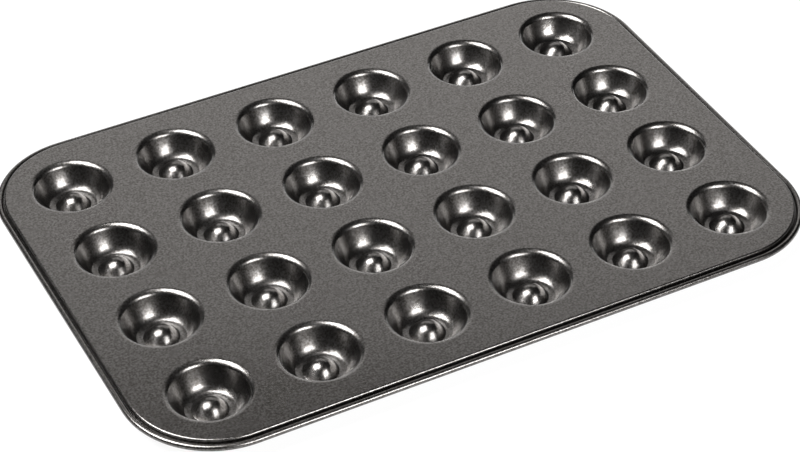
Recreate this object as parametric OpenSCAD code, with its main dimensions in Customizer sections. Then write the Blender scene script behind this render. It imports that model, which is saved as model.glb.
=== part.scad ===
// Mini muffin tin: one drawn steel sheet with round cups, and a rim rolled round a steel wire.
// The sheet is carried as regions that meet face to face: the deck, each cup and each stretch
// of the rim. Millimetres, +Z up. The origin is under the middle of the tin, on the plane that
// the cups stand on.

/* [Tin] */
// Number of cups along the length
cup_columns = 6; // [2:1:6]
// Number of cups across the width
cup_rows = 4; // [2:1:4]
// Distance between the axes of neighbouring cups
cup_pitch = 60; // [56:0.5:70]
// From the axes of the end cups to the tin's ends
end_margin = 42.5; // [36:0.5:50]
// From the axes of the front and back cups to the tin's sides
side_margin = 41.5; // [36:0.5:50]
// Corner radius of the tin's outline
corner_radius = 50; // [35:1:60]
// Thickness of the steel sheet
sheet = 0.6; // [0.4:0.1:0.8]

/* [Cup] */
// Radius of the mouth, where the flat deck ends
mouth_radius = 23.2; // [22:0.1:24]
// Depth from the deck to the flat land in the bottom
cup_depth = 13; // [11:0.5:15]
// Radius of the rounded lip
lip_radius = 4; // [3:0.1:5]
// Radius of the wall's slight curve below the lip
wall_radius = 45; // [35:1:80]
// Radius of the bowl between the wall and the crease
bowl_radius = 10; // [8:0.5:12]
// Slope of the bowl where the crease cuts it off, in degrees
bowl_end_slope = 34; // [30:1:40]
// Radius of the crease round the bottom ring
ring_outer = 12.8; // [12.4:0.1:13.4]
// Radius where the knob rises from the ring
ring_inner = 9.6; // [9.2:0.1:10]
// Width of the flat land that the tin stands on, beside the knob
land_width = 1; // [0.8:0.1:1.4]
// Height of the knob above the land
knob_height = 6.5; // [5.5:0.1:7.5]
// Radius of the knob's domed top
dome_radius = 8; // [7:0.1:8.4]
// Radius of the knob's nearly straight flank
flank_radius = 39; // [30:1:60]

/* [Rim] */
// Outer radius of the fold at the deck's edge
fold_radius = 1.1; // [0.9:0.1:1.6]
// Radius of the wire inside the bead
wire_radius = 1; // [0.8:0.1:1.5]
// Gap between the skirt and the bead
groove_width = 0.8; // [0.6:0.1:1.5]
// Depth of the wire's axis below the top of the deck
bead_drop = 2.7; // [2.4:0.1:4]

/* [Hidden] */
CUP_NAMES = [for (row = [1:cup_rows], col = [1:cup_columns]) str("cup_r", row, "_c", col)];

$fn = 96;
coating = "#5b585a";
steel = "#b4b6ba";

tin_length = (cup_columns - 1) * cup_pitch + 2 * end_margin;
tin_width = (cup_rows - 1) * cup_pitch + 2 * side_margin;
deck_top = cup_depth + sheet;

// the bead hugs the wire, and the rim is measured inwards from the bead's outermost line
bead_radius = wire_radius + sheet;
skirt_face = 2 * bead_radius + groove_width;
rim_width = skirt_face + fold_radius;
straight_length = tin_length - 2 * corner_radius;
straight_width = tin_width - 2 * corner_radius;

// Sheet sections are a list of bends, [centre, radius of the top face, of the under face,
// first angle, last angle]; the straight stretches are what lies between one bend and the next.
step = 9;
function arc(centre, radius, first, last) =
    let (count = max(1, ceil(abs(last - first) / step)))
    [for (i = [0:count]) let (a = first + (last - first) * i / count)
        centre + radius * [cos(a), sin(a)]];
function reversed(list) = [for (i = [len(list) - 1:-1:0]) list[i]];
function top_face(bends) = [for (b = bends) each arc(b[0], b[1], b[3], b[4])];
function under_face(bends) = [for (b = bends) each arc(b[0], b[2], b[3], b[4])];
function sheet_section(bends) = concat(top_face(bends), reversed(under_face(bends)));

// Cup section, from the lip to the axis: circles that touch, each with its centre found from
// the ones beside it. Slopes are in degrees down towards the axis.
function outward(slope) = [sin(slope), -cos(slope)];
function slope_across(from, to) = atan2(to[0] - from[0], from[1] - to[1]);
// the point at two given distances from two points, on the left of the way from p to q
function meeting_point(p, p_reach, q, q_reach) =
    let (gap = norm(q - p))
    let (along = (gap * gap + p_reach * p_reach - q_reach * q_reach) / (2 * gap))
    let (way = (q - p) / gap)
    p + along * way + sqrt(p_reach * p_reach - along * along) * [-way[1], way[0]];

lip_centre = [mouth_radius, deck_top - lip_radius];
dish_radius = 6;
dish_centre = [ring_inner + land_width, sheet + dish_radius];
dish_slope = asin((ring_outer - dish_centre[0]) / dish_radius);
crease_radius = 0.4;
crease_centre = dish_centre + (dish_radius - crease_radius) * outward(dish_slope);
bowl_centre = crease_centre + (crease_radius - bowl_radius) * outward(bowl_end_slope);
wall_centre = meeting_point(bowl_centre, wall_radius - bowl_radius,
                            lip_centre, wall_radius + lip_radius);
wall_slope = slope_across(wall_centre, lip_centre);
bowl_slope = slope_across(wall_centre, bowl_centre);

base_radius = 0.5;
base_centre = [ring_inner, sheet + base_radius];
dome_centre = [0, sheet + knob_height - dome_radius];
flank_centre = meeting_point(base_centre, flank_radius + base_radius,
                             dome_centre, flank_radius - dome_radius);
flank_slope = 180 - slope_across(flank_centre, base_centre);
dome_slope = 180 - slope_across(flank_centre, dome_centre);

cup_bends = [
    [lip_centre, lip_radius, lip_radius - sheet, 90, 90 + wall_slope],
    [wall_centre, wall_radius, wall_radius + sheet, wall_slope - 90, bowl_slope - 90],
    [bowl_centre, bowl_radius, bowl_radius + sheet, bowl_slope - 90, bowl_end_slope - 90],
    [crease_centre, crease_radius, crease_radius + sheet, bowl_end_slope - 90, dish_slope - 90],
    [dish_centre, dish_radius, dish_radius + sheet, dish_slope - 90, -90],
    [base_centre, base_radius, base_radius + sheet, -90, -90 - flank_slope],
    [flank_centre, flank_radius, flank_radius - sheet, 90 - flank_slope, 90 - dome_slope],
    [dome_centre, dome_radius, dome_radius - sheet, 90 - dome_slope, 90],
];

// Rim section, from the deck to the sheet's cut edge under the wire; x is measured outwards
// from the bead's outermost line, so it is negative
fold_centre = [-rim_width, deck_top - fold_radius];
valley_radius = groove_width / 2;
bead_centre = [-bead_radius, deck_top - bead_drop];
valley_centre = [-skirt_face + valley_radius, bead_centre[1] - 0.2];
curl_end = -110;
rim_bends = [
    [fold_centre, fold_radius, fold_radius - sheet, 90, 0],
    [valley_centre, valley_radius, valley_radius + sheet, -180, 0],
    [bead_centre, bead_radius, wire_radius, 180, curl_end],
];

module place_cup(row, col) {
    x = (col - (cup_columns + 1) / 2) * cup_pitch;
    y = ((cup_rows + 1) / 2 - row) * cup_pitch;
    translate([x, y, 0]) children();
}

module rounded_plate(length, width, radius) {
    square([length - 2 * radius, width], center = true);
    square([length, width - 2 * radius], center = true);
    for (x = [-1, 1], y = [-1, 1])
        translate([x * (length / 2 - radius), y * (width / 2 - radius)]) circle(radius);
}

module deck() {
    color(coating)
        translate([0, 0, deck_top - sheet])
            linear_extrude(sheet)
                difference() {
                    rounded_plate(tin_length - 2 * rim_width, tin_width - 2 * rim_width,
                                  corner_radius - rim_width);
                    for (row = [1:cup_rows], col = [1:cup_columns])
                        place_cup(row, col) circle(mouth_radius);
                }
}

module cup() {
    color(coating) rotate_extrude() polygon(sheet_section(cup_bends));
}

// side 0 is the front, 1 the right end, 2 the back and 3 the left end
module rim_side(side) {
    along_x = side % 2 == 0;
    length = along_x ? straight_length : straight_width;
    reach = along_x ? tin_width / 2 : tin_length / 2;
    color(coating)
        rotate(side * 90)
            translate([-length / 2, -reach, 0])
                rotate([90, 0, 90])
                    linear_extrude(length)
                        mirror([1, 0]) polygon(sheet_section(rim_bends));
}

// corner 0 joins the front to the right end, and the others follow anticlockwise
function corner_place(corner) =
    [(corner == 0 || corner == 1 ? 1 : -1) * straight_length / 2,
     (corner == 1 || corner == 2 ? 1 : -1) * straight_width / 2, 0];

module rim_corner(corner) {
    color(coating)
        translate(corner_place(corner))
            rotate(corner * 90 - 90)
                rotate_extrude(angle = 90)
                    translate([corner_radius, 0]) polygon(sheet_section(rim_bends));
}

module rim_wire() {
    bend_radius = corner_radius - bead_radius;
    color(steel)
        translate([0, 0, bead_centre[1]]) {
            for (y = [-1, 1])
                translate([-straight_length / 2, y * (tin_width / 2 - bead_radius), 0])
                    rotate([0, 90, 0]) cylinder(h = straight_length, r = wire_radius);
            for (x = [-1, 1])
                translate([x * (tin_length / 2 - bead_radius), straight_width / 2, 0])
                    rotate([90, 0, 0]) cylinder(h = straight_width, r = wire_radius);
            for (corner = [0:3])
                translate(corner_place(corner))
                    rotate(corner * 90 - 90)
                        rotate_extrude(angle = 90)
                            translate([bend_radius, 0]) circle(wire_radius);
        }
}

deck();
for (row = [1:cup_rows], col = [1:cup_columns])
    place_cup(row, col) cup();
rim_side(0);  // rim_front
rim_side(1);  // rim_right
rim_side(2);  // rim_back
rim_side(3);  // rim_left
rim_corner(0);  // rim_corner_front_right
rim_corner(1);  // rim_corner_back_right
rim_corner(2);  // rim_corner_back_left
rim_corner(3);  // rim_corner_front_left
rim_wire();
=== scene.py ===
from math import asin, atan2, ceil, cos, degrees, pi, radians, sin, sqrt

import bpy
from mathutils import Matrix, Vector
from mathutils.geometry import delaunay_2d_cdt


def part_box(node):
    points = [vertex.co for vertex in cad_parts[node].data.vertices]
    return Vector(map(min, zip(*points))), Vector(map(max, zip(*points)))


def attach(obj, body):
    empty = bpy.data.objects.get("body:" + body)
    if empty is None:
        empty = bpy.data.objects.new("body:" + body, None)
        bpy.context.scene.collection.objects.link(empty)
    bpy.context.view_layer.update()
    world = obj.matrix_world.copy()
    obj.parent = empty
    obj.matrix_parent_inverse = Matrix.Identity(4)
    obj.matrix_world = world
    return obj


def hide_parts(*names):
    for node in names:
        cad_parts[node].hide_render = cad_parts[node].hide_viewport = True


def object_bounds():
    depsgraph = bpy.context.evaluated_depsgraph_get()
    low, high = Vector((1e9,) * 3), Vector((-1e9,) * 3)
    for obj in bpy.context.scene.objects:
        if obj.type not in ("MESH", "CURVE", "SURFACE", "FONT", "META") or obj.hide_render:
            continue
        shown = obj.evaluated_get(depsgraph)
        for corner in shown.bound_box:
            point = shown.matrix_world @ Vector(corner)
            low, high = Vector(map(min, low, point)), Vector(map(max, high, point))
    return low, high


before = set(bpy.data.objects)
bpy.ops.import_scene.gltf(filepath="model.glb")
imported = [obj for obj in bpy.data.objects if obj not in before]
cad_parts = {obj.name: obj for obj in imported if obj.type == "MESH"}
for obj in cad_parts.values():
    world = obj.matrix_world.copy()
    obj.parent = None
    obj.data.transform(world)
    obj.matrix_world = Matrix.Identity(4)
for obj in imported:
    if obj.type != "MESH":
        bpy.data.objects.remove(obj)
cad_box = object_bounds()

# A mini muffin tin of dark non-stick coated steel. Each cup and each stretch of the rim is a
# closed shell, swept from a section that is the same chain of bends as in the CAD model, and
# the deck is flat between them. Pieces share the points and the normals of the seams between
# them, so the sheet reads as one.

MM = 0.001
NOTHING = 1e-8      # a shorter length is taken as none
WELD = 1e-7         # points of the deck closer than this become one

# ---------------------------------------------------------------- sizes

SHEET = 0.6 * MM
MOUTH_RADIUS = 23.2 * MM
LIP_RADIUS = 4 * MM
WALL_RADIUS = 45 * MM
BOWL_RADIUS = 10 * MM
BOWL_END_SLOPE = 34     # degrees, where the crease cuts the bowl off
RING_OUTER = 12.8 * MM
RING_INNER = 9.6 * MM
LAND_WIDTH = 1 * MM
DISH_RADIUS = 6 * MM
CREASE_RADIUS = 0.4 * MM
BASE_RADIUS = 0.5 * MM
KNOB_HEIGHT = 6.5 * MM
DOME_RADIUS = 8 * MM
FLANK_RADIUS = 39 * MM

FOLD_RADIUS = 1.1 * MM
WIRE_RADIUS = 1 * MM
GROOVE_WIDTH = 0.8 * MM
BEAD_DROP = 2.7 * MM    # from the deck's top down to the wire's axis
VALLEY_DROP = 0.2 * MM  # from the wire's axis down to the centre of the groove's bend
CURL_END = -110         # the direction, seen from the wire, of the sheet's cut edge
CORNER_RADIUS = 50 * MM

BEAD_RADIUS = WIRE_RADIUS + SHEET
SKIRT_FACE = 2 * BEAD_RADIUS + GROOVE_WIDTH
RIM_WIDTH = SKIRT_FACE + FOLD_RADIUS

TOP_STEP = 3            # degrees of bend between two lines of points on the upper face
UNDER_STEP = 6          # and on the underside
CUP_STATIONS = 96       # points round a cup
CORNER_STRETCHES = 48   # stretches that a corner of the rim is divided into
SIDE_STRETCHES = 24     # and a straight side


def middle_of(node):
    low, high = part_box(node)
    return Vector(((low.x + high.x) / 2, (low.y + high.y) / 2, 0))


CUPS = {name: middle_of(name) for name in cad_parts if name.startswith("cup_")}
DECK_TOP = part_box("deck")[1].z
HALF_LENGTH = cad_box[1].x
HALF_WIDTH = cad_box[1].y


# ---------------------------------------------------------------- sections of the sheet

def heading(angle):
    return Vector((cos(radians(angle)), sin(radians(angle))))


def outward(slope):
    """From the centre of a hollow bend to the sheet, where the sheet has this slope."""
    return heading(slope - 90)


def bearing(start, end):
    return degrees(atan2(end.y - start.y, end.x - start.x))


def meeting_point(p, p_reach, q, q_reach):
    """The point at two given distances from p and q, on the left of the way from p to q."""
    gap = (q - p).length
    along = (gap ** 2 + p_reach ** 2 - q_reach ** 2) / (2 * gap)
    way = (q - p) / gap
    return p + along * way + sqrt(p_reach ** 2 - along ** 2) * Vector((-way.y, way.x))


def cup_bends():
    """(centre, radius of the upper face, of the underside, first angle, last angle)."""
    lip = Vector((MOUTH_RADIUS, DECK_TOP - LIP_RADIUS))
    dish = Vector((RING_INNER + LAND_WIDTH, SHEET + DISH_RADIUS))
    dish_slope = degrees(asin((RING_OUTER - dish.x) / DISH_RADIUS))
    crease = dish + (DISH_RADIUS - CREASE_RADIUS) * outward(dish_slope)
    bowl = crease + (CREASE_RADIUS - BOWL_RADIUS) * outward(BOWL_END_SLOPE)
    wall = meeting_point(bowl, WALL_RADIUS - BOWL_RADIUS, lip, WALL_RADIUS + LIP_RADIUS)
    wall_turn = bearing(wall, lip)
    bowl_turn = bearing(wall, bowl)
    base = Vector((RING_INNER, SHEET + BASE_RADIUS))
    dome = Vector((0, SHEET + KNOB_HEIGHT - DOME_RADIUS))
    flank = meeting_point(base, FLANK_RADIUS + BASE_RADIUS, dome, FLANK_RADIUS - DOME_RADIUS)
    flank_turn = bearing(flank, base)
    dome_turn = bearing(flank, dome)

    def hill(centre, radius, first, last):
        return centre, radius, radius - SHEET, first, last

    def hollow(centre, radius, first, last):
        return centre, radius, radius + SHEET, first, last

    return [
        hill(lip, LIP_RADIUS, 90, 180 + wall_turn),
        hollow(wall, WALL_RADIUS, wall_turn, bowl_turn),
        hollow(bowl, BOWL_RADIUS, bowl_turn, BOWL_END_SLOPE - 90),
        hollow(crease, CREASE_RADIUS, BOWL_END_SLOPE - 90, dish_slope - 90),
        hollow(dish, DISH_RADIUS, dish_slope - 90, -90),
        hollow(base, BASE_RADIUS, -90, flank_turn - 180),
        hill(flank, FLANK_RADIUS, flank_turn, dome_turn),
        hill(dome, DOME_RADIUS, dome_turn, 90),
    ]


def rim_bends():
    """The same for the rim; x is measured outwards from the bead's outermost line."""
    valley_radius = GROOVE_WIDTH / 2
    bead = Vector((-BEAD_RADIUS, DECK_TOP - BEAD_DROP))
    valley = Vector((valley_radius - SKIRT_FACE, bead.y - VALLEY_DROP))
    fold = Vector((-RIM_WIDTH, DECK_TOP - FOLD_RADIUS))
    return [
        (fold, FOLD_RADIUS, FOLD_RADIUS - SHEET, 90, 0),
        (valley, valley_radius, valley_radius + SHEET, -180, 0),
        (bead, BEAD_RADIUS, WIRE_RADIUS, 180, CURL_END),
    ]


def face_points(bends, upper, step):
    """(point, normal) along one face of the sheet; step is in degrees of bend."""
    points = []
    for centre, top_radius, under_radius, first, last in bends:
        radius = top_radius if upper else under_radius
        side = 1 if (top_radius > under_radius) == upper else -1
        count = max(1, ceil(abs(last - first) / step))
        for i in range(count + 1):
            turn = heading(first + (last - first) * i / count)
            points.append((centre + radius * turn, side * turn))
    return points


def section(bends):
    """The outline of the sheet's section, clockwise, as (start, its normal, end, its normal)."""
    top = face_points(bends, True, TOP_STEP)
    under = face_points(bends, False, UNDER_STEP)
    if top[0][0].x > top[-1][0].x:
        top.reverse()
        under.reverse()
    under.reverse()
    sides = []
    for face, following in ((top, under), (under, top)):
        sides += [(a[0], a[1], b[0], b[1]) for a, b in zip(face, face[1:])]
        start, end = face[-1][0], following[0][0]
        edge = (end - start).normalized()
        normal = Vector((-edge.y, edge.x))
        sides.append((start, normal, end, normal))
    return [side for side in sides if (side[0] - side[2]).length > NOTHING]


# ---------------------------------------------------------------- meshes

class Shell:
    """Collects faces with a normal at each corner. Points in one place become one vertex."""

    def __init__(self):
        self.index = {}
        self.points = []
        self.faces = []
        self.normals = []

    def vertex(self, point):
        key = tuple(round(value / NOTHING) for value in point)
        if key not in self.index:
            self.index[key] = len(self.points)
            self.points.append(point)
        return self.index[key]

    def face(self, corners):
        """corners: (point, normal), anticlockwise seen from outside."""
        used = {}
        for point, normal in corners:
            used.setdefault(self.vertex(point), normal)
        if len(used) > 2:
            self.faces.append(list(used))
            self.normals.extend(used.values())

    def piece(self, name, material, offset=Vector((0, 0, 0))):
        mesh = bpy.data.meshes.new(name)
        mesh.from_pydata([p + offset for p in self.points], [], self.faces)
        mesh.polygons.foreach_set("use_smooth", [True] * len(mesh.polygons))
        mesh.normals_split_custom_set(self.normals)
        mesh.materials.append(material)
        obj = bpy.data.objects.new(name, mesh)
        bpy.context.scene.collection.objects.link(obj)
        return obj


def swept(sides, stations, closed=False):
    """Sweeps a section past stations (origin, outward direction). x of the section is outward."""
    shell = Shell()

    def place(station, point):
        origin, way = station
        return origin + way * point.x + Vector((0, 0, point.y))

    def turned(station, normal):
        return station[1] * normal.x + Vector((0, 0, normal.y))

    pairs = list(zip(stations, stations[1:]))
    if closed:
        pairs.append((stations[-1], stations[0]))
    for here, there in pairs:
        for a, a_normal, b, b_normal in sides:
            shell.face([
                (place(here, a), turned(here, a_normal)),
                (place(here, b), turned(here, b_normal)),
                (place(there, b), turned(there, b_normal)),
                (place(there, a), turned(there, a_normal)),
            ])
    if not closed:
        for station, facing in ((stations[0], -1), (stations[-1], 1)):
            way = station[1]
            normal = Vector((-way.y, way.x, 0)) * facing
            ring = [(place(station, side[0]), normal) for side in sides]
            shell.face(ring[::-1] if facing < 0 else ring)
    return shell


def arc_stations(centre, radius, first, last, count):
    """Stations on an arc: each is a point at that radius and the direction outwards."""
    turns = [heading(first + (last - first) * i / count).to_3d() for i in range(count + 1)]
    return [(centre + turn * radius, turn) for turn in turns]


def side_stations(start, end, way):
    """Stations on a straight line, all with the same direction outwards."""
    return [(start.lerp(end, i / SIDE_STRETCHES), way) for i in range(SIDE_STRETCHES + 1)]


def full_circle(centre, radius):
    """The stations of a cup, with none twice."""
    return arc_stations(centre, radius, 0, 360, CUP_STATIONS)[:-1]


def corner_stations(centre, radius, number):
    """A quarter circle; corner 0 starts towards the front and each next one 90 degrees on."""
    first = number * 90 - 90
    return arc_stations(centre, radius, first, first + 90, CORNER_STRETCHES)


def corner_centres():
    """Front right, then on anticlockwise."""
    x = HALF_LENGTH - CORNER_RADIUS
    y = HALF_WIDTH - CORNER_RADIUS
    return [Vector((x, -y, 0)), Vector((x, y, 0)), Vector((-x, y, 0)), Vector((-x, -y, 0))]


def deck_loops():
    """The deck's outline and its holes, on the lines where its neighbours start."""
    outline = []
    for number, centre in enumerate(corner_centres()):
        stations = corner_stations(centre, CORNER_RADIUS - RIM_WIDTH, number)
        outline.extend(origin.xy for origin, _ in stations)
    holes = []
    for centre in CUPS.values():
        holes.append([origin.xy for origin, _ in full_circle(centre, MOUTH_RADIUS)])
    return outline, holes


def in_a_cup(triangle):
    """A mouth's circle is drawn as chords, and only triangles inside it come nearer the axis."""
    chord_distance = MOUTH_RADIUS * cos(pi / CUP_STATIONS)
    middle = sum(triangle, Vector((0, 0))) / 3
    return any((middle - cup.xy).length < chord_distance for cup in CUPS.values())


def deck_triangles(loops):
    """Triangles between the loops, anticlockwise seen from above."""
    points = []
    edges = []
    for loop in loops:
        first = len(points)
        points.extend(loop)
        edges.extend((first + i, first + (i + 1) % len(loop)) for i in range(len(loop)))
    inside_only = 1
    flat, _, faces, *_ = delaunay_2d_cdt(points, edges, [], inside_only, WELD)
    for corners in faces:
        a, b, c = (flat[i] for i in corners)
        if (b - a).cross(c - a) < 0:
            b, c = c, b
        if not in_a_cup((a, b, c)):
            yield a, b, c


def deck_shell():
    """The flat deck: its top, its underside and the narrow bands along its edges."""
    shell = Shell()
    outline, holes = deck_loops()
    up = Vector((0, 0, 1))
    low = DECK_TOP - SHEET
    for a, b, c in deck_triangles([outline] + holes):
        shell.face([(Vector((p.x, p.y, DECK_TOP)), up) for p in (a, b, c)])
        shell.face([(Vector((p.x, p.y, low)), -up) for p in (c, b, a)])
    for loop in [outline] + [hole[::-1] for hole in holes]:
        for a, b in zip(loop, loop[1:] + loop[:1]):
            normal = Vector((b.y - a.y, a.x - b.x, 0)).normalized()
            band = [(a, low), (b, low), (b, DECK_TOP), (a, DECK_TOP)]
            shell.face([(Vector((p.x, p.y, z)), normal) for p, z in band])
    return shell


# ---------------------------------------------------------------- materials

WHITE = (1, 1, 1, 1)
DARK_FLAKE = (0.062, 0.057, 0.052)
LIGHT_FLAKE = (0.156, 0.15, 0.146)
MOST_NOISE = (0.3, 0.7)     # nearly all of a noise texture's values lie between these


def new_material(name, base_colour, metallic, roughness):
    material = bpy.data.materials.new(name)
    material.use_nodes = True
    shader = material.node_tree.nodes["Principled BSDF"]
    shader.inputs["Base Color"].default_value = (*base_colour, 1)
    shader.inputs["Metallic"].default_value = metallic
    shader.inputs["Roughness"].default_value = roughness
    return material, material.node_tree, shader


def noise(tree, scale, detail=2, roughness=0.5):
    """Noise that is fixed to the object; scale is the number of features in a metre."""
    place = tree.nodes.new("ShaderNodeTexCoord")
    texture = tree.nodes.new("ShaderNodeTexNoise")
    texture.inputs["Scale"].default_value = scale
    texture.inputs["Detail"].default_value = detail
    texture.inputs["Roughness"].default_value = roughness
    tree.links.new(place.outputs["Object"], texture.inputs["Vector"])
    return texture.outputs["Fac"]


def spread(tree, value, low, high):
    """Takes a noise value to the range low to high."""
    node = tree.nodes.new("ShaderNodeMapRange")
    node.inputs["From Min"].default_value = MOST_NOISE[0]
    node.inputs["From Max"].default_value = MOST_NOISE[1]
    node.inputs["To Min"].default_value = low
    node.inputs["To Max"].default_value = high
    tree.links.new(value, node.inputs["Value"])
    return node.outputs["Result"]


def tinted(tree, factor, dark, light):
    """From dark to light as the factor goes from 0 to 1."""
    node = tree.nodes.new("ShaderNodeMix")
    node.data_type = "RGBA"
    node.inputs["A"].default_value = (*dark, 1)
    node.inputs["B"].default_value = (*light, 1)
    tree.links.new(factor, node.inputs["Factor"])
    return node.outputs["Result"]


def bump(tree, height, distance, below=None):
    """Roughens the surface by this distance, on top of the bump below it."""
    node = tree.nodes.new("ShaderNodeBump")
    node.inputs["Strength"].default_value = 1
    node.inputs["Distance"].default_value = distance
    tree.links.new(height, node.inputs["Height"])
    if below is not None:
        tree.links.new(below, node.inputs["Normal"])
    return node.outputs["Normal"]


def coating_material():
    """Dark metallic non-stick: fine flakes that scatter widely, under a smoother clear coat."""
    material, tree, shader = new_material("coating", (0.1, 0.095, 0.091), 1.0, 0.28)
    shader.inputs["Coat Weight"].default_value = 0.5
    shader.inputs["Coat Roughness"].default_value = 0.12
    shader.inputs["Coat IOR"].default_value = 1.5
    flakes = spread(tree, noise(tree, scale=900, detail=1), 0, 1)
    tree.links.new(tinted(tree, flakes, DARK_FLAKE, LIGHT_FLAKE), shader.inputs["Base Color"])
    patches = spread(tree, noise(tree, scale=35), low=0.265, high=0.295)
    tree.links.new(patches, shader.inputs["Roughness"])
    peel = bump(tree, noise(tree, scale=400), distance=0.01 * MM)
    fine = noise(tree, scale=2400, roughness=0.6)
    grain = bump(tree, fine, distance=0.025 * MM, below=peel)
    tree.links.new(grain, shader.inputs["Normal"])
    return material


def wire_material():
    """Bare drawn steel, a little uneven."""
    material, tree, shader = new_material("wire", (0.6, 0.61, 0.63), 1.0, 0.35)
    drawn = noise(tree, scale=900, detail=3)
    tree.links.new(spread(tree, drawn, low=0.28, high=0.45), shader.inputs["Roughness"])
    tree.links.new(bump(tree, drawn, distance=0.02 * MM), shader.inputs["Normal"])
    return material


def floor_material():
    """It glows evenly, so that it is white and the tin's shadow on it stays faint."""
    material, _, shader = new_material("floor", (0.08, 0.08, 0.08), 0.0, 0.7)
    shader.inputs["Emission Color"].default_value = WHITE
    shader.inputs["Emission Strength"].default_value = 0.92
    return material


# ---------------------------------------------------------------- the tin

def settle(piece, node):
    """The piece takes a CAD node's place, and the node is hidden."""
    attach(piece, "root")
    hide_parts(node)


def make_cups(coating):
    stations = full_circle(Vector((0, 0, 0)), 0)
    cup = swept(section(cup_bends()), stations, closed=True)
    for name, centre in CUPS.items():
        settle(cup.piece(name + "_sheet", coating, centre), name)


def make_rim(coating):
    """Anticlockwise from the front right corner: a corner, then the side that follows it."""
    rim = section(rim_bends())
    corners = corner_centres()
    corner_names = ["front_right", "back_right", "back_left", "front_left"]
    side_names = ["right", "back", "left", "front"]
    for number, centre in enumerate(corners):
        node = "rim_corner_" + corner_names[number]
        stations = corner_stations(centre, CORNER_RADIUS, number)
        settle(swept(rim, stations).piece(node + "_sheet", coating), node)
        node = "rim_" + side_names[number]
        way = heading(number * 90).to_3d()
        following = corners[(number + 1) % 4]
        stations = side_stations(centre + way * CORNER_RADIUS, following + way * CORNER_RADIUS, way)
        settle(swept(rim, stations).piece(node + "_sheet", coating), node)


def dress_wire():
    """The CAD's own wire is fine enough to be kept."""
    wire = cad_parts["rim_wire"]
    wire.data.materials.clear()
    wire.data.materials.append(wire_material())
    wire.data.polygons.foreach_set("use_smooth", [True] * len(wire.data.polygons))


def make_tin():
    coating = coating_material()
    settle(deck_shell().piece("deck_sheet", coating), "deck")
    make_cups(coating)
    make_rim(coating)
    dress_wire()


# ---------------------------------------------------------------- studio

FLOOR_SIZE = 12
FILL_LIGHT = 0.015      # strength of the even light from all round
LENS = 111.96           # millimetres, on a sensor of this width
SENSOR_WIDTH = 36


def compass(azimuth, elevation):
    """The direction at these degrees; azimuth is clockwise from +Y, seen from above."""
    a, e = radians(azimuth), radians(elevation)
    return Vector((sin(a) * cos(e), cos(a) * cos(e), sin(e)))


def softbox(name, azimuth, elevation, distance, width, height, radiance, colour=(1, 1, 1)):
    """A rectangular lamp that faces the tin, as bright as radiance says, whatever its size."""
    light = bpy.data.lights.new(name, "AREA")
    light.shape = "RECTANGLE"
    light.size = width
    light.size_y = height
    light.energy = radiance * width * height * pi
    light.color = colour
    lamp = bpy.data.objects.new(name, light)
    way = compass(azimuth, elevation)
    lamp.location = way * distance
    lamp.rotation_euler = way.to_track_quat("Z", "Y").to_euler()
    bpy.context.scene.collection.objects.link(lamp)


def make_world():
    world = bpy.data.worlds.new("studio")
    bpy.context.scene.world = world
    world.use_nodes = True
    background = world.node_tree.nodes["Background"]
    background.inputs["Color"].default_value = WHITE
    background.inputs["Strength"].default_value = FILL_LIGHT


def make_floor():
    bpy.ops.mesh.primitive_plane_add(size=FLOOR_SIZE, location=(0, 0, 0))
    floor = bpy.context.object
    floor.name = "floor"
    floor.data.materials.append(floor_material())


def make_camera():
    """From the front left, about 40 degrees up, with a long lens and a slight roll."""
    back = compass(azimuth=207.16, elevation=39.42)
    roll = Matrix.Rotation(radians(-0.51), 3, "Z")
    target = Vector((-10.36 * MM, -22.35 * MM, DECK_TOP))
    distance = 1303 * MM
    data = bpy.data.cameras.new("camera")
    data.lens = LENS
    data.sensor_width = SENSOR_WIDTH
    camera = bpy.data.objects.new("camera", data)
    camera.location = target + back * distance
    look = (-back).to_track_quat("-Z", "Y")
    camera.rotation_euler = (look.to_matrix() @ roll).to_euler()
    bpy.context.scene.collection.objects.link(camera)
    bpy.context.scene.camera = camera


def make_lamps():
    """Softboxes for the highlights in the cups, a panel for the deck and a strip for near lips."""
    softbox("key_softbox", azimuth=286, elevation=61, distance=1.2,
            width=0.72, height=0.88, radiance=19)
    softbox("front_softbox", azimuth=168, elevation=33, distance=1.2,
            width=0.6, height=0.46, radiance=18)
    softbox("back_panel", azimuth=27.5, elevation=29.5, distance=1.5,
            width=1.4, height=0.9, radiance=1.17, colour=(1, 0.98, 0.965))
    softbox("back_strip", azimuth=27, elevation=5, distance=1.5,
            width=2.2, height=0.25, radiance=2.3)


def make_studio():
    make_world()
    make_floor()
    make_camera()
    make_lamps()
    bpy.context.scene.view_settings.view_transform = "Standard"


make_tin()
make_studio()
